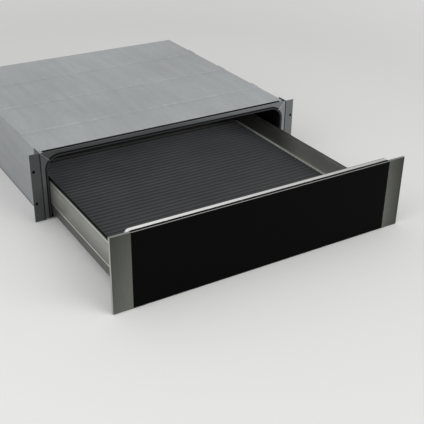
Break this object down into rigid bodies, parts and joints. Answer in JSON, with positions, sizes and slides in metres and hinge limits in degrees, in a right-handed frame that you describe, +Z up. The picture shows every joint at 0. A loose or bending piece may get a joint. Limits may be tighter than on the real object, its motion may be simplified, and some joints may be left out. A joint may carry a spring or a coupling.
{
  "type": "built-in warming drawer",
  "caption": "Built-in warming drawer: flat glass front with steel side strips, heated tray with ribbed mat, telescopic ball slides, flanged casing for a kitchen niche.",
  "frame": {"origin": "centre of the casing's underside, on the niche floor", "axes": "+X to the right seen from the front, +Y to the back of the niche, +Z up; the drawer opens along -Y and is stored pulled out by 326 mm"},
  "size_m": [0.594, 0.873, 0.141],
  "materials": {
    "black_glass": "gloss black front glass",
    "black_plastic": "matt black",
    "board": "circuit board green",
    "bright_steel": "polished stainless edge",
    "drawer_steel": "satin stainless",
    "frame_paint": "satin grey coated frame",
    "front_steel": "brushed graphite-grey steel",
    "galvanised": "galvanised sheet",
    "grey_plastic": "matt grey",
    "heater": "foil",
    "mat_rubber": "matt anthracite, ribbed",
    "plate_glass": "tempered, dark",
    "screw_steel": "zinc-plated",
    "seal_rubber": "matt black",
    "slide_steel": "zinc-plated rolled steel",
    "wool": "dark mineral wool"
  },
  "bodies": {
    "casing": {"base_plate": "galvanised", "casing_screws": "screw_steel", "door_switch": "grey_plastic", "frame_left_post": "frame_paint", "frame_right_post": "frame_paint", "frame_top_rail": "frame_paint", "latch_housing": "black_plastic", "mounting_flange_left": "frame_paint", "mounting_flange_right": "frame_paint", "opening_seal": "seal_rubber", "outer_rail_left": "slide_steel", "outer_rail_right": "slide_steel", "rail_bracket_left": "galvanised", "rail_bracket_right": "galvanised", "rail_screws": "screw_steel", "rear_wall": "galvanised", "side_wall_left": "galvanised", "side_wall_right": "galvanised", "supply_inlet": "black_plastic", "terminal_box": "black_plastic", "top_cover": "galvanised"},
    "drawer": {"front_glass": "black_glass", "front_carrier": "frame_paint", "front_spacer": "black_plastic", "inner_front": "bright_steel", "selector_switch": "black_plastic", "tray": "drawer_steel", "heated_plate": "plate_glass", "ribbed_mat": "mat_rubber", "wall_insulation": "wool", "drawer_back": "drawer_steel", "underside_pan": "galvanised", "heating_element": "heater", "insulation_pad": "wool", "control_board": "board", "drawer_screws": "screw_steel", "thermostat": "heater", "thermal_limiter": "heater", "front_strip_left": "front_steel", "front_strip_right": "front_steel", "side_skin_left": "drawer_steel", "side_skin_right": "drawer_steel", "rail_cover_left": "drawer_steel", "rail_cover_right": "drawer_steel", "inner_rail_left": "slide_steel", "inner_rail_right": "slide_steel"},
    "middle_slide_left": {"middle_rail_left": "slide_steel"},
    "middle_slide_right": {"middle_rail_right": "slide_steel"},
    "outer_cage_left": {"outer_ball_cage_left": "slide_steel"},
    "outer_cage_right": {"outer_ball_cage_right": "slide_steel"},
    "inner_cage_left": {"inner_ball_cage_left": "slide_steel"},
    "inner_cage_right": {"inner_ball_cage_right": "slide_steel"},
    "knob": {"function_knob": "black_plastic"},
    "plunger": {"latch_plunger": "grey_plastic"}
  },
  "joints": [
    {"name": "drawer_slide", "type": "slide", "parent": "casing", "child": "drawer", "axis": [0, 1, 0], "range_m": [-0.074, 0.326]},
    {"name": "middle_slide_left", "type": "slide", "parent": "casing", "child": "middle_slide_left", "axis": [0, 1, 0], "range_m": [-0.037, 0.163]},
    {"name": "outer_cage_roll_left", "type": "slide", "parent": "casing", "child": "outer_cage_left", "axis": [0, 1, 0], "range_m": [-0.0185, 0.0815]},
    {"name": "inner_cage_roll_left", "type": "slide", "parent": "casing", "child": "inner_cage_left", "axis": [0, 1, 0], "range_m": [-0.0555, 0.2445]},
    {"name": "middle_slide_right", "type": "slide", "parent": "casing", "child": "middle_slide_right", "axis": [0, 1, 0], "range_m": [-0.037, 0.163]},
    {"name": "outer_cage_roll_right", "type": "slide", "parent": "casing", "child": "outer_cage_right", "axis": [0, 1, 0], "range_m": [-0.0185, 0.0815]},
    {"name": "inner_cage_roll_right", "type": "slide", "parent": "casing", "child": "inner_cage_right", "axis": [0, 1, 0], "range_m": [-0.0555, 0.2445]},
    {"name": "function_knob_turn", "type": "hinge", "parent": "drawer", "child": "knob", "pos_m": [0.226, -0.5904, 0.108], "axis": [0, 1, 0], "range_deg": [-160, 0]},
    {"name": "latch_plunger_slide", "type": "slide", "parent": "casing", "child": "plunger", "axis": [0, 1, 0], "range_m": [0, 0.004], "stiffness_N_per_m": 400, "springref_m": -0.004}
  ],
  "couplings": [
    {"joint": "middle_slide_left", "follows": "drawer_slide", "ratio": 0.5},
    {"joint": "outer_cage_roll_left", "follows": "drawer_slide", "ratio": 0.25},
    {"joint": "inner_cage_roll_left", "follows": "drawer_slide", "ratio": 0.75},
    {"joint": "middle_slide_right", "follows": "drawer_slide", "ratio": 0.5},
    {"joint": "outer_cage_roll_right", "follows": "drawer_slide", "ratio": 0.25},
    {"joint": "inner_cage_roll_right", "follows": "drawer_slide", "ratio": 0.75}
  ]
}
